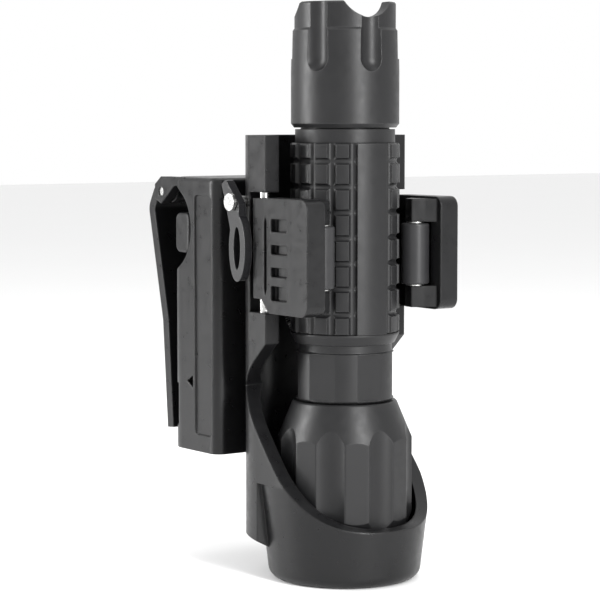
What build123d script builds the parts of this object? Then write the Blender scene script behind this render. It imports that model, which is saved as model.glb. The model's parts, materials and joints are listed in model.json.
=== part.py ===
from build123d import *
import math
import os

os.makedirs("parts", exist_ok=True)

# All sizes in millimetres. Z is up, -Y is the open front of the holder, and the
# origin is on the flashlight's axis at the flat underside of the holder's cup.

# ---- flashlight, standing head down --------------------------------------------
CELL_R = 8.5
CELL_LENGTH = 34.5
CELL_GAP = 0.3
CELL_BOTTOM = 40.2
TUBE_BORE_R = 8.8
TUBE_R = 12.1
NECK_R = 12.5
SLEEVE_R = 13.85
SLEEVE_BOTTOM = 63.1
SLEEVE_TOP = 110.8
LOCK_RING_TOP = 114.3
SLEEVE_COLUMNS = 16
PANEL_ANGLE = 264.0
PANEL_WIDTH = 36.0
CROSS_GROOVES = 7
CROSS_PITCH = 6.37
FIRST_GROOVE = 68.2
GROOVE_R = 0.85
COLUMN_GROOVE_R = 1.15

HEAD_R = 17.2
HEAD_TOP = 45.5
HEAD_TOP_R = 13.35
CONE_BOTTOM = 36.0
HEAD_BOTTOM = 14.3
BEZEL_BOTTOM = 11.5
BEZEL_R = 15.9
FLUTES = 8
FLUTE_R = 7.0
FLUTE_CENTRE_R = 22.84
FLUTE_ANGLE = 221.0
LAND_APOTHEM = 16.98
HEAD_THREAD_R = 10.4
THREAD_CLEARANCE = 0.07
REFLECTOR_BOTTOM = 20.3
PILL_BOTTOM = 33.2
LENS_BOTTOM = 18.2

CAP_R = 13.7
CAP_BOTTOM = 114.7
CAP_STEP = 139.2
CAP_TOP = 146.0
CAP_THREAD_R = 11.2
CAP_RECESS_R = 9.6
CAP_FLUTES = 6
CAP_FLUTE_R = 4.0
CAP_FLUTE_CENTRE_R = 15.95
CAP_FLUTE_BALL_Z = 131.9
CAP_FLUTE_ANGLE = 262.0
SCALLOP_R = 7.3
SCALLOP_DEPTH = 4.0
BUTTON_R = 7.6
BUTTON_BOTTOM = 133.6
BUTTON_TOP = 140.6

# ---- holder ----------------------------------------------------------------------
HOLDER_HALF = 22.2
HOLDER_BACK = 22.2
HOLDER_TOP = 112.8
BACK_CORNER_R = 14.4
WALL = 3.6
CAVITY_R = 18.3
LEDGE_Z = 11.2
WINDOW_R = 12.5
CUP_BOTTOM_R = 19.2
CUP_TAPER_TOP = 25.0
SPINE_SPLIT_Y = 7.0
RIM_FRONT_Z = 14.4
RIM_BACK = (16.3, 49.0)
LUG_FRONT = 3.6
LUG_BACK = 11.0
LOWER_LUG = (60.6, 68.3)
UPPER_LUG = (98.6, HOLDER_TOP)
HINGE_X = 20.1
HINGE_Y = 6.8
PIN_R = 1.2
RUNNING = 0.05

# ---- clamp arms --------------------------------------------------------------------
ARM_BOTTOM = 68.6
ARM_TOP = 97.3
ARM_FRONT = -16.2
ARM_INNER_X = 18.5
ARM_OUTER_X = 23.7
KNUCKLE_R = 2.9
KNUCKLE_BOTTOM = 72.0
KNUCKLE_TOP = 96.9
ROLLER_R = 3.6
ROLLER_DISTANCE = 17.9
ROLLER_ANGLE = 33.0
ROLLER_BOTTOM = 75.0
ROLLER_TOP = 90.5
ROLLER_PIN_R = 1.0
ROLLER_X = ROLLER_DISTANCE * math.cos(math.radians(ROLLER_ANGLE))
ROLLER_Y = -ROLLER_DISTANCE * math.sin(math.radians(ROLLER_ANGLE))

# ---- belt clip -----------------------------------------------------------------------
SWIVEL_Z = 66.0
POST_R = 3.0
CLIP_HALF = 23.0
CLIP_FRONT = 24.6
CLIP_BACK = 48.0
CLIP_BOTTOM = 30.0
CLIP_TOP = 101.7
CLIP_WALL = 2.7
GATE_PIN_Y = 51.3
GATE_PIN_Z = 97.6
GATE_HALF = 19.4
EAR_INNER = 19.7
SIDE_BUTTON_Z = 87.0
SIDE_BUTTON_Y = 42.0
LEVER_Y = 13.6
LEVER_Z = 96.0


def save(part, label):
    """Label one finished piece and write it as its own STEP file."""
    part.label = label
    export_step(part, f"parts/{label}.step")


def ring(outer_r, inner_r, bottom, top):
    """A plain ring about the flashlight's axis."""
    with BuildPart() as made:
        with BuildSketch(Plane.XY.offset(bottom)):
            Circle(outer_r)
            Circle(inner_r, mode=Mode.SUBTRACT)
        extrude(amount=top - bottom)
    return made.part


# ================================ flashlight =============================================

with BuildPart() as battery_tube:
    with BuildSketch(Plane.XZ):
        with BuildLine():
            Polyline(
                (TUBE_BORE_R, 38.5),
                (HEAD_THREAD_R, 38.5),
                (HEAD_THREAD_R, 45.8),
                (NECK_R - 0.3, 45.8),
                (NECK_R, 46.3),
                (NECK_R, 58.0),
                (NECK_R - 0.5, 58.4),
                (NECK_R - 0.5, 60.2),
                (NECK_R + 0.2, 60.4),
                (SLEEVE_R - 0.05, 62.6),
                (SLEEVE_R - 0.05, SLEEVE_BOTTOM - 0.1),
                (TUBE_R, SLEEVE_BOTTOM - 0.1),
                (TUBE_R, LOCK_RING_TOP - 0.1),
                (CAP_THREAD_R, LOCK_RING_TOP + 0.1),
                (CAP_THREAD_R, 125.0),
                (TUBE_BORE_R, 125.0),
                close=True,
            )
        make_face()
    revolve(axis=Axis.Z)
    # six wrench flats round the neck
    with BuildSketch(Plane.XY.offset(46.3)):
        with PolarLocations(NECK_R + 1.45, 6, start_angle=264.7 - 240):
            Rectangle(4.0, 9.0)
    extrude(amount=11.7, mode=Mode.SUBTRACT)
save(battery_tube.part, "battery_tube")

with BuildPart() as grip_sleeve:
    with BuildSketch(Plane.XZ):
        with BuildLine():
            Polyline(
                (TUBE_R + 0.05, SLEEVE_BOTTOM),
                (SLEEVE_R - 0.35, SLEEVE_BOTTOM),
                (SLEEVE_R, SLEEVE_BOTTOM + 0.35),
                (SLEEVE_R, SLEEVE_TOP - 0.35),
                (SLEEVE_R - 0.35, SLEEVE_TOP),
                (TUBE_R + 0.05, SLEEVE_TOP),
                close=True,
            )
        make_face()
        with Locations([(SLEEVE_R, FIRST_GROOVE + CROSS_PITCH * i) for i in range(CROSS_GROOVES)]):
            Circle(GROOVE_R, mode=Mode.SUBTRACT)
    revolve(axis=Axis.Z)
    column = 360.0 / SLEEVE_COLUMNS
    with BuildSketch(Plane.XY.offset(SLEEVE_BOTTOM - 1)):
        with PolarLocations(SLEEVE_R + 0.25, SLEEVE_COLUMNS, start_angle=PANEL_ANGLE - 180):
            Circle(COLUMN_GROOVE_R)
    extrude(amount=SLEEVE_TOP - SLEEVE_BOTTOM + 2, mode=Mode.SUBTRACT)
    # two smooth panels, each over two columns
    reach = SLEEVE_R * 1.3
    half = math.radians(PANEL_WIDTH / 2)
    for side in (PANEL_ANGLE, PANEL_ANGLE - 180):
        with BuildSketch(Plane.XY.offset(SLEEVE_BOTTOM)):
            Circle(SLEEVE_R + 0.08)
            Circle(TUBE_R + 0.4, mode=Mode.SUBTRACT)
            with BuildSketch(mode=Mode.PRIVATE) as wedge:
                with BuildLine():
                    Polyline(
                        (0, 0),
                        (reach * math.cos(half), -reach * math.sin(half)),
                        (reach * math.cos(half), reach * math.sin(half)),
                        close=True,
                    )
                make_face()
            add(wedge.sketch.rotate(Axis.Z, side), mode=Mode.INTERSECT)
        extrude(amount=SLEEVE_TOP - SLEEVE_BOTTOM)
save(grip_sleeve.part, "grip_sleeve")

save(ring(12.65, TUBE_R + 0.05, SLEEVE_TOP + 0.1, LOCK_RING_TOP), "lock_ring")

for index, label in enumerate(("lower_cell", "upper_cell")):
    base = CELL_BOTTOM + index * (CELL_LENGTH + CELL_GAP)
    with BuildPart() as cell:
        with BuildSketch(Plane.XZ):
            with BuildLine():
                Polyline(
                    (0, base),
                    (3.2, base),
                    (3.2, base + 1.0),
                    (CELL_R - 0.5, base + 1.0),
                    (CELL_R, base + 1.5),
                    (CELL_R, base + CELL_LENGTH - 0.5),
                    (CELL_R - 0.5, base + CELL_LENGTH),
                    (0, base + CELL_LENGTH),
                    close=True,
                )
            make_face()
        revolve(axis=Axis.Z)
    save(cell.part, label)

# ---- head ------------------------------------------------------------------------------

with BuildPart() as head_shell:
    with BuildSketch(Plane.XZ):
        with BuildLine():
            Polyline(
                (15.0, HEAD_BOTTOM),
                (16.1, HEAD_BOTTOM),
                (HEAD_R, HEAD_BOTTOM + 2.1),
                (HEAD_R, CONE_BOTTOM),
                (HEAD_TOP_R, HEAD_TOP - 0.3),
                (HEAD_TOP_R - 0.3, HEAD_TOP),
                (HEAD_THREAD_R + THREAD_CLEARANCE, HEAD_TOP),
                (HEAD_THREAD_R + THREAD_CLEARANCE, 38.2),
                (11.2, 38.2),
                (11.2, 33.0),
                (15.0, 26.0),
                close=True,
            )
        make_face()
    revolve(axis=Axis.Z)
    with BuildSketch(Plane.XY.offset(HEAD_BOTTOM - 1)):
        RegularPolygon(
            LAND_APOTHEM, FLUTES, major_radius=False, rotation=FLUTE_ANGLE,
        )
    extrude(amount=HEAD_TOP - HEAD_BOTTOM + 2, mode=Mode.INTERSECT)
    with BuildSketch(Plane.XY.offset(HEAD_BOTTOM - 1)):
        with PolarLocations(FLUTE_CENTRE_R, FLUTES, start_angle=FLUTE_ANGLE - 180):
            Circle(FLUTE_R)
    extrude(amount=HEAD_TOP - HEAD_BOTTOM + 2, mode=Mode.SUBTRACT)
save(head_shell.part, "head_shell")

with BuildPart() as bezel_ring:
    with BuildSketch(Plane.XZ):
        with BuildLine():
            Polyline(
                (12.9, 18.0),
                (14.9, 18.0),
                (14.9, HEAD_BOTTOM - 0.1),
                (BEZEL_R, HEAD_BOTTOM - 0.1),
                (BEZEL_R, BEZEL_BOTTOM + 0.8),
                (BEZEL_R - 0.8, BEZEL_BOTTOM),
                (13.6, BEZEL_BOTTOM),
                (12.9, BEZEL_BOTTOM + 1.6),
                close=True,
            )
        make_face()
    revolve(axis=Axis.Z)
save(bezel_ring.part, "bezel_ring")

with BuildPart() as lens:
    with BuildSketch(Plane.XY.offset(LENS_BOTTOM)):
        Circle(14.7)
    extrude(amount=1.9)
    chamfer(lens.edges(), length=0.2)
save(lens.part, "lens")

# A parabola about the axis, open downward, with its vertex above the emitter.
PARABOLA = 14.63
PARABOLA_VERTEX = 33.7
REFLECTOR_WALL = 0.8


def parabola_point(z, grow=0.0):
    return (math.sqrt(PARABOLA * (PARABOLA_VERTEX - z)) + grow, z)


REFLECTOR_LEVELS = [REFLECTOR_BOTTOM + (33.0 - REFLECTOR_BOTTOM) * i / 8 for i in range(9)]
with BuildPart() as reflector:
    with BuildSketch(Plane.XZ):
        with BuildLine():
            inner = Spline([parabola_point(z) for z in REFLECTOR_LEVELS])
            outer = Spline([parabola_point(z, REFLECTOR_WALL) for z in REFLECTOR_LEVELS])
            Line(inner @ 0, outer @ 0)
            Line(inner @ 1, outer @ 1)
        make_face()
    revolve(axis=Axis.Z)
save(reflector.part, "reflector")

with BuildPart() as led_module:
    with BuildSketch(Plane.XY.offset(PILL_BOTTOM)):
        Circle(11.1)
    extrude(amount=4.8)
    with BuildSketch(Plane.XY.offset(PILL_BOTTOM + 4.8)):
        Circle(2.5)
    extrude(amount=1.9)
save(led_module.part, "led_module")

with BuildPart() as led_emitter:
    with BuildSketch(Plane.XY.offset(PILL_BOTTOM - 0.7)):
        Rectangle(3.6, 3.6)
    extrude(amount=0.7)
    with Locations((0, 0, PILL_BOTTOM - 1.4)):
        Sphere(1.35)
save(led_emitter.part, "led_emitter")

# ---- tail cap ----------------------------------------------------------------------------

with BuildPart() as tail_cap:
    with BuildSketch(Plane.XZ):
        with BuildLine():
            Polyline(
                (CAP_THREAD_R + THREAD_CLEARANCE, CAP_BOTTOM),
                (CAP_R - 0.8, CAP_BOTTOM),
                (CAP_R, CAP_BOTTOM + 1.0),
                (CAP_R, 128.5),
                (13.45, CAP_STEP - 0.3),
                (12.95, CAP_STEP + 0.3),
                (12.95, CAP_TOP - 0.4),
                (12.55, CAP_TOP),
                (CAP_RECESS_R + 0.3, CAP_TOP),
                (CAP_RECESS_R, CAP_TOP - 0.3),
                (CAP_RECESS_R, 133.7),
                (10.6, 133.7),
                (10.6, 126.0),
                (CAP_THREAD_R + THREAD_CLEARANCE, 126.0),
                close=True,
            )
        make_face()
    revolve(axis=Axis.Z)
    # six vertical flutes with round lower ends
    with BuildSketch(Plane.XY.offset(CAP_FLUTE_BALL_Z)):
        with PolarLocations(CAP_FLUTE_CENTRE_R, CAP_FLUTES, start_angle=CAP_FLUTE_ANGLE - 240):
            Circle(CAP_FLUTE_R)
    extrude(amount=CAP_TOP - CAP_FLUTE_BALL_Z + 1, mode=Mode.SUBTRACT)
    for index in range(CAP_FLUTES):
        angle = math.radians(CAP_FLUTE_ANGLE + 60 * index)
        ball_x = CAP_FLUTE_CENTRE_R * math.cos(angle)
        ball_y = CAP_FLUTE_CENTRE_R * math.sin(angle)
        with Locations((ball_x, ball_y, CAP_FLUTE_BALL_Z)):
            Sphere(CAP_FLUTE_R, mode=Mode.SUBTRACT)
    # three round dips in the rim
    for index in range(3):
        direction = CAP_FLUTE_ANGLE + 120 * index
        across = Plane(
            origin=(0, 0, CAP_TOP + SCALLOP_R - SCALLOP_DEPTH),
            x_dir=(-math.sin(math.radians(direction)), math.cos(math.radians(direction)), 0),
            z_dir=(math.cos(math.radians(direction)), math.sin(math.radians(direction)), 0),
        )
        with BuildSketch(across):
            Circle(SCALLOP_R)
        extrude(amount=20, mode=Mode.SUBTRACT)
save(tail_cap.part, "tail_cap")

with BuildPart() as switch_module:
    with BuildSketch(Plane.XY.offset(126.1)):
        Circle(10.4)
    extrude(amount=5.3)
    with BuildSketch(Plane.XY.offset(124.2)):
        Circle(4.0)
    extrude(amount=1.9)
save(switch_module.part, "switch_module")

save(ring(CAP_RECESS_R - 0.05, BUTTON_R + 0.08, 134.4, 136.2), "switch_ring")

with BuildPart() as tail_spring:
    with BuildLine() as spring_line:
        Helix(pitch=2.6, height=11.5, radius=5.0, center=(0, 0, 111.0))
    with BuildSketch(Plane(origin=spring_line.line @ 0, z_dir=spring_line.line % 0)):
        Circle(0.45)
    sweep(is_frenet=True)
save(tail_spring.part, "tail_spring")

with BuildPart() as tail_button:
    with BuildSketch(Plane.XY.offset(BUTTON_BOTTOM)):
        Circle(BUTTON_R)
    extrude(amount=BUTTON_TOP - BUTTON_BOTTOM)
    fillet(tail_button.edges().group_by(Axis.Z)[-1], radius=2.0)
save(tail_button.part, "tail_button")

# ================================ holder ==================================================


def d_outline(half_width, back, corner):
    """A D in plan: a half circle to the front, and two round corners at the back."""
    with BuildSketch() as outline:
        Circle(half_width)
        with Locations((0, back / 2)):
            Rectangle(2 * half_width, back)
        fillet(outline.vertices().group_by(Axis.Y)[-1], radius=corner)
    return outline.sketch


with BuildPart() as holder_frame:
    add(extrude(d_outline(HOLDER_HALF, HOLDER_BACK, BACK_CORNER_R), amount=HOLDER_TOP))
    inside = d_outline(CAVITY_R, HOLDER_BACK - WALL, BACK_CORNER_R - WALL)
    add(extrude(inside.moved(Location((0, 0, LEDGE_Z))), amount=HOLDER_TOP), mode=Mode.SUBTRACT)
    with BuildSketch():
        Circle(WINDOW_R)
    extrude(amount=LEDGE_Z, mode=Mode.SUBTRACT)
    # open the front above the sloping rim, and leave the lugs of the two hinges
    with BuildSketch(Plane.YZ):
        with BuildLine():
            Spline(
                (-HOLDER_HALF, RIM_FRONT_Z),
                (-9.0, 20.4),
                (4.7, 34.6),
                RIM_BACK,
                tangents=((1, 0.05), (1, 1.15)),
            )
            Polyline(
                RIM_BACK,
                (LUG_FRONT, LOWER_LUG[0]),
                (LUG_FRONT, LOWER_LUG[1]),
                (LUG_BACK, LOWER_LUG[1]),
                (LUG_BACK, UPPER_LUG[0]),
                (LUG_FRONT, UPPER_LUG[0]),
                (LUG_FRONT, HOLDER_TOP + 1),
                (-HOLDER_HALF - 8, HOLDER_TOP + 1),
                (-HOLDER_HALF - 8, RIM_FRONT_Z),
                (-HOLDER_HALF, RIM_FRONT_Z),
            )
        make_face()
    extrude(amount=HOLDER_HALF + 5, both=True, mode=Mode.SUBTRACT)
    # the cup tapers towards its base, and the spine ends above it in a bevel
    with BuildSketch(Plane.XZ):
        with BuildLine():
            Polyline(
                (CUP_BOTTOM_R, -1),
                (CUP_BOTTOM_R, 0),
                (CUP_BOTTOM_R + 1.0, 8.4),
                (CUP_BOTTOM_R + 12, 14.0),
                (CUP_BOTTOM_R + 12, -1),
                close=True,
            )
        make_face()
    revolve(axis=Axis.Z, mode=Mode.SUBTRACT)
    split_angle = math.degrees(math.asin(SPINE_SPLIT_Y / HOLDER_HALF))
    start = math.radians(180 - split_angle)
    radial = Plane(
        origin=(0, 0, 0),
        x_dir=(math.cos(start), math.sin(start), 0),
        z_dir=(math.sin(start), -math.cos(start), 0),
    )
    with BuildSketch(radial):
        with BuildLine():
            Polyline(
                (CUP_BOTTOM_R, 0),
                (HOLDER_HALF, CUP_TAPER_TOP),
                (HOLDER_HALF + 8, CUP_TAPER_TOP),
                (HOLDER_HALF + 8, 0),
                close=True,
            )
        make_face()
    revolve(axis=Axis.Z, revolution_arc=180 + 2 * split_angle, mode=Mode.SUBTRACT)
    base_edges = holder_frame.edges().filter_by(GeomType.CIRCLE).filter_by(
        lambda edge: abs(edge.center().Z) < 0.01 and edge.radius > CUP_BOTTOM_R - 0.5
    )
    fillet(base_edges, radius=3.0)
    # thicker lugs for the hinge pins, scooped inside for the flashlight's head
    for low, high in (LOWER_LUG, UPPER_LUG):
        with BuildSketch(Plane.XY.offset(low)):
            for side in (-1, 1):
                with Locations((side * (HOLDER_HALF - 2.6), (LUG_FRONT + LUG_BACK) / 2)):
                    Rectangle(5.2, LUG_BACK - LUG_FRONT)
            Circle(CAVITY_R, mode=Mode.SUBTRACT)
        extrude(amount=high - low)
    # holes for the pins
    with BuildSketch(Plane.XY.offset(LOWER_LUG[0] + 1.5)):
        with Locations((-HINGE_X, HINGE_Y), (HINGE_X, HINGE_Y)):
            Circle(PIN_R + 0.01)
    extrude(amount=HOLDER_TOP - LOWER_LUG[0] - 5.5, mode=Mode.SUBTRACT)
    # swivel boss on the back, with its bore and countersunk seat
    with BuildSketch(Plane.XZ.offset(-HOLDER_BACK + 1)):
        with Locations((0, SWIVEL_Z)):
            Circle(11.0)
    extrude(amount=-2.0)
    with BuildSketch(Plane.XZ.offset(-HOLDER_BACK - 3)):
        with Locations((0, SWIVEL_Z)):
            Circle(POST_R + 0.01)
    extrude(amount=10, mode=Mode.SUBTRACT)
    with BuildSketch(Plane.XZ.offset(-(HOLDER_BACK - WALL + 1.9))):
        with Locations((0, SWIVEL_Z)):
            Circle(5.3)
    extrude(amount=4, mode=Mode.SUBTRACT)
    # bore of the lever's pin in the left side
    with BuildSketch(Plane.YZ.offset(-HOLDER_HALF - 1)):
        with Locations((LEVER_Y, LEVER_Z)):
            Circle(1.51)
    extrude(amount=3.2, mode=Mode.SUBTRACT)
save(holder_frame.part, "holder_frame")

with BuildPart() as hinge_pins:
    with BuildSketch(Plane.XY.offset(LOWER_LUG[0] + 1.6)):
        with Locations((-HINGE_X, HINGE_Y), (HINGE_X, HINGE_Y)):
            Circle(PIN_R)
    extrude(amount=HOLDER_TOP - LOWER_LUG[0] - 5.7)
save(hinge_pins.part, "hinge_pins")

with BuildPart() as swivel_post:
    with BuildSketch(Plane.XZ.offset(-31.6)):
        with Locations((0, SWIVEL_Z)):
            Circle(POST_R)
    extrude(amount=31.6 - 19.0)
    with BuildSketch(Plane.XZ.offset(-20.4)):
        with Locations((0, SWIVEL_Z)):
            Circle(5.2)
    extrude(amount=1.5)
    with BuildSketch(Plane.XZ.offset(-20.0)):
        with Locations((0, SWIVEL_Z)):
            RegularPolygon(1.8, 6)
    extrude(amount=3, mode=Mode.SUBTRACT)
save(swivel_post.part, "swivel_post")

with BuildPart() as index_disc:
    with BuildSketch(Plane.XZ.offset(-(CLIP_FRONT - 0.25))):
        with Locations((0, SWIVEL_Z)):
            Circle(10.4)
            Circle(POST_R + 0.02, mode=Mode.SUBTRACT)
            with PolarLocations(10.4, 12):
                Circle(0.9, mode=Mode.SUBTRACT)
    extrude(amount=CLIP_FRONT - 0.25 - HOLDER_BACK - 1.05)
save(index_disc.part, "index_disc")

with BuildPart() as swivel_nut:
    with BuildSketch(Plane.XZ.offset(-31.2)):
        with Locations((0, SWIVEL_Z)):
            RegularPolygon(5.6, 6)
            Circle(POST_R + 0.02, mode=Mode.SUBTRACT)
    extrude(amount=2.9)
save(swivel_nut.part, "swivel_nut")

with BuildPart() as lever_pin:
    with BuildSketch(Plane.YZ.offset(-26.2)):
        with Locations((LEVER_Y, LEVER_Z)):
            Circle(1.5)
    extrude(amount=6.1)
    with BuildSketch(Plane.YZ.offset(-26.4)):
        with Locations((LEVER_Y, LEVER_Z)):
            Circle(2.2)
    extrude(amount=0.9)
save(lever_pin.part, "lever_pin")

with BuildPart() as lock_lever:
    with BuildSketch(Plane.YZ.offset(-25.3)):
        with BuildLine():
            Polyline(
                (LEVER_Y + 3.0, LEVER_Z + 5.6),
                (LEVER_Y + 4.8, LEVER_Z + 4.4),
                (LEVER_Y + 2.9, LEVER_Z - 0.6),
                (LEVER_Y + 0.6, LEVER_Z - 8.0),
                (LEVER_Y - 2.9, LEVER_Z - 8.0),
                (LEVER_Y - 2.8, LEVER_Z - 0.5),
                close=True,
            )
        make_face()
        with Locations((LEVER_Y - 2.0, LEVER_Z - 11.6)):
            Ellipse(3.5, 8.4)
            Ellipse(1.5, 5.4, mode=Mode.SUBTRACT)
        with Locations((LEVER_Y, LEVER_Z)):
            Circle(1.5 + RUNNING, mode=Mode.SUBTRACT)
    extrude(amount=2.3)
    fillet(lock_lever.edges().filter_by(Axis.X), radius=0.5)
save(lock_lever.part, "lock_lever")

# ---- clamp arms, left one built and right one mirrored ---------------------------------------

with BuildPart() as left_arm:
    with BuildSketch(Plane.XY.offset(ARM_BOTTOM)) as arm_plan:
        with BuildLine():
            Polyline(
                (-HINGE_X - KNUCKLE_R, HINGE_Y),
                (-ARM_OUTER_X, ARM_FRONT),
                (-ARM_INNER_X + 0.3, ARM_FRONT),
                (-ARM_INNER_X, -2.0),
                (-HINGE_X + KNUCKLE_R - 0.9, HINGE_Y - 2.2),
                (-HINGE_X, HINGE_Y),
                close=True,
            )
        make_face()
        with Locations((-HINGE_X, HINGE_Y)):
            Circle(KNUCKLE_R)
    extrude(amount=ARM_TOP - ARM_BOTTOM)
    # shelves above and below the roller
    for low, high in ((ARM_BOTTOM + 0.6, ROLLER_BOTTOM - 0.4), (ROLLER_TOP + 0.4, ARM_TOP - 0.6)):
        with BuildSketch(Plane.XY.offset(low)):
            with BuildLine():
                Polyline(
                    (-ARM_INNER_X - 1, ARM_FRONT + 0.9),
                    (-ROLLER_X - 0.8, ROLLER_Y - 3.0),
                    (-ROLLER_X + 2.1, ROLLER_Y - 1.2),
                    (-ROLLER_X + 1.6, ROLLER_Y + 2.1),
                    (-ARM_INNER_X - 1, ROLLER_Y + 6.5),
                    close=True,
                )
            make_face()
        extrude(amount=high - low)
    # side outline: round front corners, and a shorter hinge end
    with BuildSketch(Plane.YZ.offset(-ARM_OUTER_X - 5)) as arm_side:
        with BuildLine():
            Polyline(
                (ARM_FRONT, ARM_BOTTOM),
                (0.5, ARM_BOTTOM),
                (4.2, KNUCKLE_BOTTOM),
                (HINGE_Y + 4, KNUCKLE_BOTTOM),
                (HINGE_Y + 4, KNUCKLE_TOP),
                (3.0, ARM_TOP),
                (ARM_FRONT, ARM_TOP),
                close=True,
            )
        make_face()
        fillet(arm_side.vertices().group_by(Axis.X)[0], radius=2.6)
    extrude(amount=20, mode=Mode.INTERSECT)
    # room for the roller
    with BuildSketch(Plane.XY.offset(ROLLER_BOTTOM - 0.4)):
        with Locations((-ROLLER_X, ROLLER_Y)):
            Circle(ROLLER_R + 0.45)
    extrude(amount=ROLLER_TOP - ROLLER_BOTTOM + 0.8, mode=Mode.SUBTRACT)
    # roller pin seats, open at the top
    with BuildSketch(Plane.XY.offset(ARM_BOTTOM + 1.8)):
        with Locations((-ROLLER_X, ROLLER_Y)):
            Circle(ROLLER_PIN_R + 0.01)
    extrude(amount=ARM_TOP - ARM_BOTTOM - 3.6, mode=Mode.SUBTRACT)
    # hinge bore and spring chamber
    with BuildSketch(Plane.XY.offset(ARM_BOTTOM - 1)):
        with Locations((-HINGE_X, HINGE_Y)):
            Circle(PIN_R + RUNNING)
    extrude(amount=ARM_TOP - ARM_BOTTOM + 2, mode=Mode.SUBTRACT)
    with BuildSketch(Plane.XY.offset(78.0)):
        with Locations((-HINGE_X, HINGE_Y)):
            Circle(2.35)
        with Locations((-HINGE_X + 2.5, HINGE_Y)):
            Rectangle(5.0, 4.7)
    extrude(amount=12.0, mode=Mode.SUBTRACT)
    # four moulded pockets and one long slit in the outer face
    with BuildSketch(Plane.YZ.offset(-ARM_OUTER_X - 1)):
        for low, high in ((71.9, 75.6), (77.8, 80.2), (83.4, 85.8), (89.0, 92.2)):
            with Locations((-3.9, (low + high) / 2)):
                RectangleRounded(7.2, high - low, 0.5)
    extrude(amount=3.1, mode=Mode.SUBTRACT)
    with BuildSketch(Plane.YZ.offset(-ARM_OUTER_X - 1)):
        with BuildLine():
            Polyline((1.6, 74.5), (2.2, 73.0), (2.8, 74.5), (2.8, 91.3), (2.2, 92.8), (1.6, 91.3), close=True)
        make_face()
    extrude(amount=2.6, mode=Mode.SUBTRACT)
save(left_arm.part, "left_arm")

with BuildPart() as right_arm:
    mirror(left_arm.part, about=Plane.YZ)
save(right_arm.part, "right_arm")

for side, word in ((-1, "left"), (1, "right")):
    with BuildPart() as roller:
        with BuildSketch(Plane.XY.offset(ROLLER_BOTTOM)):
            with Locations((side * ROLLER_X, ROLLER_Y)):
                Circle(ROLLER_R)
        extrude(amount=ROLLER_TOP - ROLLER_BOTTOM)
        fillet(roller.edges().filter_by(GeomType.CIRCLE), radius=0.5)
        with BuildSketch(Plane.XY.offset(ROLLER_BOTTOM - 1)):
            with Locations((side * ROLLER_X, ROLLER_Y)):
                Circle(ROLLER_PIN_R + RUNNING)
        extrude(amount=ROLLER_TOP - ROLLER_BOTTOM + 2, mode=Mode.SUBTRACT)
    save(roller.part, f"{word}_roller")

    with BuildPart() as roller_pin:
        with BuildSketch(Plane.XY.offset(ARM_BOTTOM + 1.9)):
            with Locations((side * ROLLER_X, ROLLER_Y)):
                Circle(ROLLER_PIN_R)
        extrude(amount=ARM_TOP - ARM_BOTTOM - 3.8)
        for level in (ROLLER_BOTTOM - 0.38, ROLLER_TOP + 0.06):
            with BuildSketch(Plane.XY.offset(level)):
                with Locations((side * ROLLER_X, ROLLER_Y)):
                    Circle(2.3)
            extrude(amount=0.32)
    save(roller_pin.part, f"{word}_roller_pin")

    with BuildPart() as arm_spring:
        with BuildLine() as coil:
            Helix(
                pitch=1.25, height=9.0, radius=1.8,
                center=(side * HINGE_X, HINGE_Y, 79.4),
            )
        with BuildSketch(Plane(origin=coil.line @ 0, z_dir=coil.line % 0)):
            Circle(0.35)
        sweep(is_frenet=True)
    save(arm_spring.part, f"{word}_arm_spring")

# ---- belt clip --------------------------------------------------------------------------------

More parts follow.
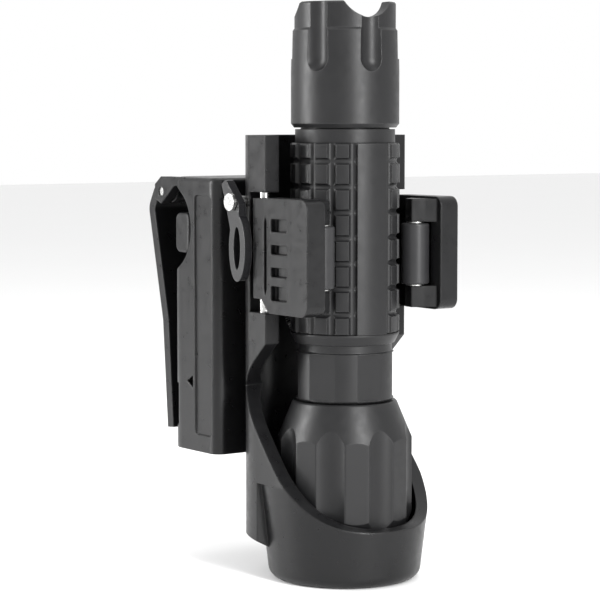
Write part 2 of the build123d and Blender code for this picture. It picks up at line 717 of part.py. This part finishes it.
with BuildPart() as clip_body:
    with BuildSketch(Plane.XY.offset(CLIP_BOTTOM)) as clip_plan:
        with Locations((0, (CLIP_FRONT + CLIP_BACK) / 2)):
            Rectangle(2 * CLIP_HALF, CLIP_BACK - CLIP_FRONT)
        fillet(clip_plan.vertices().group_by(Axis.Y)[-1], radius=7.0)
        fillet(clip_plan.vertices().group_by(Axis.Y)[0], radius=3.0)
    extrude(amount=CLIP_TOP - CLIP_BOTTOM)
    fillet(clip_body.faces().sort_by(Axis.Z)[-1].edges(), radius=1.4)
    # hollow from below
    with BuildSketch(Plane.XY.offset(CLIP_BOTTOM - 1)) as clip_inside:
        with Locations((0, (CLIP_FRONT + 3.4 + CLIP_BACK - CLIP_WALL) / 2)):
            Rectangle(2 * (CLIP_HALF - CLIP_WALL), CLIP_BACK - CLIP_WALL - CLIP_FRONT - 3.4)
        fillet(clip_inside.vertices().group_by(Axis.Y)[-1], radius=4.4)
    extrude(amount=CLIP_TOP - CLIP_BOTTOM - 2.0, mode=Mode.SUBTRACT)
    # guide ribs for the two side buttons
    with BuildSketch(Plane.XY.offset(SIDE_BUTTON_Z - 7)):
        with Locations((-12.5, 36.5), (12.5, 36.5)):
            Rectangle(2.0, 18.6)
    extrude(amount=20)
    # oval windows over the upper back corners
    for side in (-1, 1):
        with BuildSketch(Plane.YZ.offset(side * 15.5)):
            with Locations((47.0, 88.2)):
                Ellipse(10.6, 11.4)
        extrude(amount=side * 12, mode=Mode.SUBTRACT)
        # tall slot and small notch low on the back corner
        with BuildSketch(Plane.YZ.offset(side * 18.0)):
            with Locations((45.6, 41.5)):
                Rectangle(5.6, 11.4)
            with Locations((36.5, 48.2)):
                RegularPolygon(1.9, 3)
        extrude(amount=side * 8, mode=Mode.SUBTRACT)
        # shallow panel down each side
        with BuildSketch(Plane.YZ.offset(side * (CLIP_HALF - 0.45))):
            with Locations((30.8, (CLIP_BOTTOM + CLIP_TOP) / 2)):
                RectangleRounded(7.6, CLIP_TOP - CLIP_BOTTOM - 9.0, 1.2)
        extrude(amount=side * 2, mode=Mode.SUBTRACT)
    with BuildSketch(Plane.YZ.offset(-20)):
        with Locations((SIDE_BUTTON_Y, SIDE_BUTTON_Z)):
            Circle(1.6 + RUNNING)
    extrude(amount=40, mode=Mode.SUBTRACT)
    with BuildSketch(Plane.XZ.offset(-CLIP_FRONT - 6)):
        with Locations((0, SWIVEL_Z)):
            Circle(POST_R + RUNNING)
    extrude(amount=8, mode=Mode.SUBTRACT)
    # ears for the gate's pin
    for side in (-1, 1):
        with BuildSketch(Plane.YZ.offset(side * EAR_INNER)):
            with BuildLine():
                Polyline(
                    (40.0, CLIP_TOP - 0.1),
                    (GATE_PIN_Y, CLIP_TOP - 0.1),
                    (GATE_PIN_Y + 3.0, CLIP_TOP - 2.2),
                    (GATE_PIN_Y + 3.0, GATE_PIN_Z - 2.0),
                    (GATE_PIN_Y, GATE_PIN_Z - 3.2),
                    (CLIP_BACK - 3.0, 99.2),
                    (40.0, 99.9),
                    close=True,
                )
            make_face()
        extrude(amount=side * 3.0)
    with BuildSketch(Plane.YZ.offset(-CLIP_HALF - 1)):
        with Locations((GATE_PIN_Y, GATE_PIN_Z)):
            Circle(PIN_R + 0.01)
    extrude(amount=2 * CLIP_HALF + 2, mode=Mode.SUBTRACT)
save(clip_body.part, "clip_body")

with BuildPart() as gate_pin:
    with BuildSketch(Plane.YZ.offset(-22.4)):
        with Locations((GATE_PIN_Y, GATE_PIN_Z)):
            Circle(PIN_R)
    extrude(amount=44.8)
save(gate_pin.part, "gate_pin")

with BuildPart() as clip_gate:
    with BuildSketch(Plane.YZ) as gate_side:
        with BuildLine() as gate_line:
            FilletPolyline(
                (GATE_PIN_Y, GATE_PIN_Z),
                (58.0, 98.6),
                (61.2, 93.0),
                (54.4, 63.0),
                (52.2, 34.0),
                radius=3.0,
            )
        trace(line_width=2.8)
        with Locations((GATE_PIN_Y, GATE_PIN_Z)):
            Circle(2.9)
    extrude(amount=GATE_HALF, both=True)
    with BuildSketch(Plane.YZ.offset(-GATE_HALF - 1)):
        with Locations((GATE_PIN_Y, GATE_PIN_Z)):
            Circle(PIN_R + RUNNING)
    extrude(amount=2 * GATE_HALF + 2, mode=Mode.SUBTRACT)
save(clip_gate.part, "clip_gate")

for side, word in ((-1, "left"), (1, "right")):
    with BuildPart() as side_button:
        with BuildSketch(Plane.YZ.offset(side * 17.2)):
            with Locations((SIDE_BUTTON_Y + 0.4, SIDE_BUTTON_Z)):
                RectangleRounded(6.6, 10.6, 2.0)
        extrude(amount=side * 4.6)
        fillet(side_button.faces().sort_by(Axis.X)[0 if side < 0 else -1].edges(), radius=0.7)
        with BuildSketch(Plane.YZ.offset(side * 9.6)):
            with Locations((SIDE_BUTTON_Y, SIDE_BUTTON_Z)):
                Circle(1.6)
        extrude(amount=side * 7.8)
    save(side_button.part, f"{word}_side_button")

    with BuildPart() as button_spring:
        with BuildLine() as coil:
            Helix(
                pitch=0.9, height=1.9, radius=2.2,
                center=(13.9 if side > 0 else -15.8, SIDE_BUTTON_Y, SIDE_BUTTON_Z),
                direction=(1, 0, 0),
            )
        with BuildSketch(Plane(origin=coil.line @ 0, z_dir=coil.line % 0)):
            Circle(0.25)
        sweep(is_frenet=True)
    save(button_spring.part, f"{word}_button_spring")
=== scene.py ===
import json
import math

import bpy
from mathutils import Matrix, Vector

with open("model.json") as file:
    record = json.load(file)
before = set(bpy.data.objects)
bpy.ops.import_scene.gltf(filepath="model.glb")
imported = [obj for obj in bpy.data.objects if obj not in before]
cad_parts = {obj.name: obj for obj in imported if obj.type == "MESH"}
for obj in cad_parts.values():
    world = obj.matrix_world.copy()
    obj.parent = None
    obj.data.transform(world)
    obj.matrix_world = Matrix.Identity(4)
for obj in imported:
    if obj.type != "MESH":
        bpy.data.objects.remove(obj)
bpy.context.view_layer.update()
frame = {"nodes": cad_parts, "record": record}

MM = 0.001
SMOOTH_ANGLE = math.radians(28)
FLOOR_REACH = 3.0
FLOOR_COLOUR = (0.86, 0.86, 0.86)
FLOOR_ROUGHNESS = 0.6
CELL_REPEAT = 17.4 * MM
CELL_BAND_FROM = 12.0 * MM
LIGHTS_AIM = Vector((0, 0, 0.07))

# ---- camera: level with the top of the holder, from its front left ------------------------
VIEW_AZIMUTH = math.radians(-37.0)
VIEW_DISTANCE = 560 * MM
EYE_HEIGHT = 117.1 * MM
LOOK_HEIGHT = 70.9 * MM
LOOK_ASIDE = -11.4 * MM
LENS = 132.4
SENSOR_WIDTH = 36
NEAREST_SEEN = 0.01

RIGHT = Vector((math.cos(VIEW_AZIMUTH), math.sin(VIEW_AZIMUTH), 0))
TOWARD_CAMERA = Vector((math.sin(VIEW_AZIMUTH), -math.cos(VIEW_AZIMUTH), 0))
UP = Vector((0, 0, 1))


def aim(obj, target):
    """Turn an object's -Z axis to a point."""
    obj.rotation_euler = (target - obj.location).to_track_quat("-Z", "Y").to_euler()


def add_camera():
    data = bpy.data.cameras.new("camera")
    data.lens = LENS
    data.sensor_width = SENSOR_WIDTH
    data.clip_start = NEAREST_SEEN
    camera = bpy.data.objects.new("camera", data)
    bpy.context.scene.collection.objects.link(camera)
    camera.location = TOWARD_CAMERA * VIEW_DISTANCE + UP * EYE_HEIGHT
    aim(camera, RIGHT * LOOK_ASIDE + UP * LOOK_HEIGHT)
    bpy.context.scene.camera = camera


def add_area(name, right, toward, up, size, power):
    """A soft rectangular lamp, placed in metres to the camera's right, toward it, and up."""
    data = bpy.data.lights.new(name, "AREA")
    data.shape = "RECTANGLE"
    data.size, data.size_y = size
    data.energy = power
    data.spread = math.pi
    lamp = bpy.data.objects.new(name, data)
    bpy.context.scene.collection.objects.link(lamp)
    lamp.location = RIGHT * right + TOWARD_CAMERA * toward + UP * up
    aim(lamp, LIGHTS_AIM)


# ---- materials ----------------------------------------------------------------------------


class Finish:
    """A small helper that wires one procedural material."""

    # places of the colour sockets on a Mix node
    MIX_FIRST = 6
    MIX_SECOND = 7
    MIX_RESULT = 2

    def __init__(self, name):
        self.material = bpy.data.materials.new(name)
        self.material.use_nodes = True
        self.tree = self.material.node_tree
        self.shader = self.tree.nodes["Principled BSDF"]
        coordinates = self.node("ShaderNodeTexCoord")
        self.place = coordinates.outputs["Object"]

    def node(self, kind, **values):
        made = self.tree.nodes.new(kind)
        for key, value in values.items():
            setattr(made, key, value)
        return made

    def link(self, source, target):
        self.tree.links.new(source, target)

    def noise(self, scale, detail=4.0, roughness=0.55):
        made = self.node("ShaderNodeTexNoise")
        made.inputs["Scale"].default_value = scale
        made.inputs["Detail"].default_value = detail
        made.inputs["Roughness"].default_value = roughness
        self.link(self.place, made.inputs["Vector"])
        return made.outputs["Fac"]

    def spread(self, value, low, high):
        """Map the middle of a noise to a range of numbers."""
        made = self.node("ShaderNodeMapRange")
        made.inputs["From Min"].default_value = 0.3
        made.inputs["From Max"].default_value = 0.7
        made.inputs["To Min"].default_value = low
        made.inputs["To Max"].default_value = high
        self.link(value, made.inputs["Value"])
        return made.outputs["Result"]

    def blend(self, factor, first, second):
        made = self.node("ShaderNodeMix", data_type="RGBA")
        self.link(factor, made.inputs["Factor"])
        for index, colour in ((self.MIX_FIRST, first), (self.MIX_SECOND, second)):
            if isinstance(colour, tuple):
                made.inputs[index].default_value = (*colour, 1)
            else:
                self.link(colour, made.inputs[index])
        return made.outputs[self.MIX_RESULT]

    def edge_mask(self, radius):
        """White along convex and concave edges within a radius, black elsewhere."""
        soft = self.node("ShaderNodeBevel", samples=4)
        soft.inputs["Radius"].default_value = radius
        plain = self.node("ShaderNodeNewGeometry")
        dot = self.node("ShaderNodeVectorMath", operation="DOT_PRODUCT")
        self.link(soft.outputs["Normal"], dot.inputs[0])
        self.link(plain.outputs["Normal"], dot.inputs[1])
        mask = self.node("ShaderNodeMapRange")
        mask.inputs["From Min"].default_value = 0.995
        mask.inputs["From Max"].default_value = 0.86
        self.link(dot.outputs["Value"], mask.inputs["Value"])
        return soft.outputs["Normal"], mask.outputs["Result"]

    def bumps(self, grain, strength, distance, rounded=None):
        made = self.node("ShaderNodeBump")
        made.inputs["Strength"].default_value = strength
        made.inputs["Distance"].default_value = distance
        self.link(grain, made.inputs["Height"])
        if rounded is not None:
            self.link(rounded, made.inputs["Normal"])
        self.link(made.outputs["Normal"], self.shader.inputs["Normal"])

    def set(self, **values):
        for key, value in values.items():
            self.shader.inputs[key.replace("_", " ")].default_value = value


def surface(name, dark, light, edge_highlight, rough, grain_scale, grain, round_edge, coat=0.0):
    """One opaque finish: mottled colour, uneven roughness, fine grain, softened edges and a painted
    highlight that lightens the colour along the edges, broken up by noise.
    """
    finish = Finish(name)
    mottle = finish.noise(110.0)
    rounded, edge = finish.edge_mask(round_edge)
    # painted highlight: along convex and concave edges the colour is lightened towards a third, paler
    # colour, broken up by fine noise
    highlight_breakup = finish.noise(900.0, detail=6.0)
    painted_highlight = finish.node("ShaderNodeMath", operation="MULTIPLY")
    finish.link(edge, painted_highlight.inputs[0])
    finish.link(highlight_breakup, painted_highlight.inputs[1])
    tone = finish.blend(mottle, dark, light)
    colour = finish.blend(painted_highlight.outputs["Value"], tone, edge_highlight)
    finish.link(colour, finish.shader.inputs["Base Color"])
    finish.link(finish.spread(finish.noise(420.0), *rough), finish.shader.inputs["Roughness"])
    finish.bumps(finish.noise(grain_scale, detail=2.0), grain, 0.00004, rounded)
    finish.set(Coat_Weight=coat, Coat_Roughness=0.25, Specular_IOR_Level=0.28)
    return finish.material


def glass():
    finish = Finish("lens_glass")
    finish.link(finish.spread(finish.noise(300.0), 0.01, 0.04), finish.shader.inputs["Roughness"])
    finish.set(Transmission_Weight=1.0, IOR=1.5, Base_Color=(0.97, 0.985, 1.0, 1))
    return finish.material


def turned_metal(name, colour, rough, axis_scale):
    """Bright metal with fine turning lines round the Z axis."""
    finish = Finish(name)
    stretch = finish.node("ShaderNodeMapping")
    stretch.inputs["Scale"].default_value = axis_scale
    finish.link(finish.place, stretch.inputs["Vector"])
    lines = finish.node("ShaderNodeTexNoise")
    lines.inputs["Scale"].default_value = 900.0
    finish.link(stretch.outputs["Vector"], lines.inputs["Vector"])
    shade = tuple(0.82 * value for value in colour)
    turned = finish.blend(lines.outputs["Fac"], shade, colour)
    finish.link(turned, finish.shader.inputs["Base Color"])
    finish.link(finish.spread(lines.outputs["Fac"], *rough), finish.shader.inputs["Roughness"])
    rounded, _ = finish.edge_mask(0.15 * MM)
    finish.bumps(lines.outputs["Fac"], 0.25, 0.00002, rounded)
    finish.set(Metallic=1.0)
    return finish.material


def cell_film():
    """Printed shrink film, with a plain band round one end."""
    finish = Finish("cell_wrap")
    parts = finish.node("ShaderNodeSeparateXYZ")
    finish.link(finish.place, parts.inputs["Vector"])
    wave = finish.node("ShaderNodeMath", operation="PINGPONG")
    wave.inputs[1].default_value = CELL_REPEAT
    finish.link(parts.outputs["Z"], wave.inputs[0])
    band = finish.node("ShaderNodeMath", operation="GREATER_THAN")
    band.inputs[1].default_value = CELL_BAND_FROM
    finish.link(wave.outputs["Value"], band.inputs[0])
    film = finish.blend(finish.noise(80.0), (0.05, 0.07, 0.11), (0.07, 0.09, 0.14))
    wrap = finish.blend(band.outputs["Value"], film, (0.5, 0.5, 0.48))
    finish.link(wrap, finish.shader.inputs["Base Color"])
    finish.link(finish.spread(finish.noise(500.0), 0.25, 0.4), finish.shader.inputs["Roughness"])
    finish.bumps(finish.noise(1500.0), 0.1, 0.00002)
    return finish.material


# the third colour of each surface is its painted edge highlight
MATERIALS = {
    "anodised_black": surface(
        "anodised_black", (0.007, 0.007, 0.0075), (0.011, 0.011, 0.0115), (0.06, 0.06, 0.06),
        (0.34, 0.46), 5200.0, 0.35, 0.30 * MM,
    ),
    "polymer_black": surface(
        "polymer_black", (0.0035, 0.0035, 0.0038), (0.0065, 0.0065, 0.007), (0.02, 0.02, 0.02),
        (0.26, 0.40), 3400.0, 0.22, 0.70 * MM,
    ),
    "lever_black": surface(
        "lever_black", (0.006, 0.006, 0.0065), (0.010, 0.010, 0.011), (0.10, 0.10, 0.10),
        (0.12, 0.22), 2600.0, 0.10, 0.35 * MM, coat=0.8,
    ),
    "roller_black": surface(
        "roller_black", (0.014, 0.014, 0.015), (0.024, 0.024, 0.025), (0.05, 0.05, 0.05),
        (0.30, 0.44), 3000.0, 0.20, 0.40 * MM,
    ),
    "button_rubber": surface(
        "button_rubber", (0.010, 0.010, 0.010), (0.018, 0.018, 0.018), (0.03, 0.03, 0.03),
        (0.65, 0.85), 2600.0, 0.5, 0.50 * MM,
    ),
    "switch_plastic": surface(
        "switch_plastic", (0.03, 0.03, 0.03), (0.045, 0.045, 0.045), (0.08, 0.08, 0.08),
        (0.45, 0.6), 2600.0, 0.3, 0.30 * MM,
    ),
    "emitter_yellow": surface(
        "emitter_yellow", (0.75, 0.60, 0.08), (0.88, 0.74, 0.16), (0.9, 0.85, 0.5),
        (0.25, 0.4), 4000.0, 0.1, 0.20 * MM, coat=0.5,
    ),
    "steel": turned_metal("steel", (0.58, 0.58, 0.57), (0.20, 0.34), (1, 1, 6)),
    "reflector_bright": turned_metal("reflector_bright", (0.88, 0.88, 0.89), (0.03, 0.08), (1, 1, 4)),
    "module_brass": turned_metal("module_brass", (0.72, 0.52, 0.22), (0.22, 0.36), (1, 1, 5)),
    "lens_glass": glass(),
    "cell_wrap": cell_film(),
}


def dress_nodes():
    """Give every CAD node the finish of its slot, and smooth its curved faces."""
    slots = {entry["node"]: entry["material_slot"] for entry in frame["record"]["subparts"]}
    for name, obj in frame["nodes"].items():
        obj.data.materials.clear()
        obj.data.materials.append(MATERIALS[slots[name]])
        obj.data.shade_smooth()
        obj.data.set_sharp_from_angle(angle=SMOOTH_ANGLE)


def plain_material(name, colour, rough):
    finish = Finish(name)
    shade = tuple(0.985 * value for value in colour)
    finish.link(finish.blend(finish.noise(6.0), shade, colour), finish.shader.inputs["Base Color"])
    finish.set(Roughness=rough)
    return finish.material


def add_floor():
    """A pale floor, far larger than the view."""
    mesh = bpy.data.meshes.new("floor")
    corners = [
        (-FLOOR_REACH, -FLOOR_REACH, 0),
        (FLOOR_REACH, -FLOOR_REACH, 0),
        (FLOOR_REACH, FLOOR_REACH, 0),
        (-FLOOR_REACH, FLOOR_REACH, 0),
    ]
    mesh.from_pydata(corners, [], [(0, 1, 2, 3)])
    mesh.materials.append(plain_material("pale_floor", FLOOR_COLOUR, FLOOR_ROUGHNESS))
    floor = bpy.data.objects.new("floor", mesh)
    bpy.context.scene.collection.objects.link(floor)


def add_world():
    world = bpy.data.worlds.new("studio")
    world.use_nodes = True
    back = world.node_tree.nodes["Background"]
    back.inputs["Color"].default_value = (1.0, 1.0, 1.0, 1)
    back.inputs["Strength"].default_value = 1.0
    bpy.context.scene.world = world


bpy.context.scene.view_settings.view_transform = "Standard"
add_camera()
add_world()
add_floor()
add_area("key", 0.40, 0.60, 0.34, (0.10, 0.50), 9.0)
add_area("strip_left", -0.62, 0.02, 0.20, (0.08, 0.50), 5.0)
add_area("top", 0.05, -0.10, 0.80, (0.60, 0.60), 2.0)
dress_nodes()
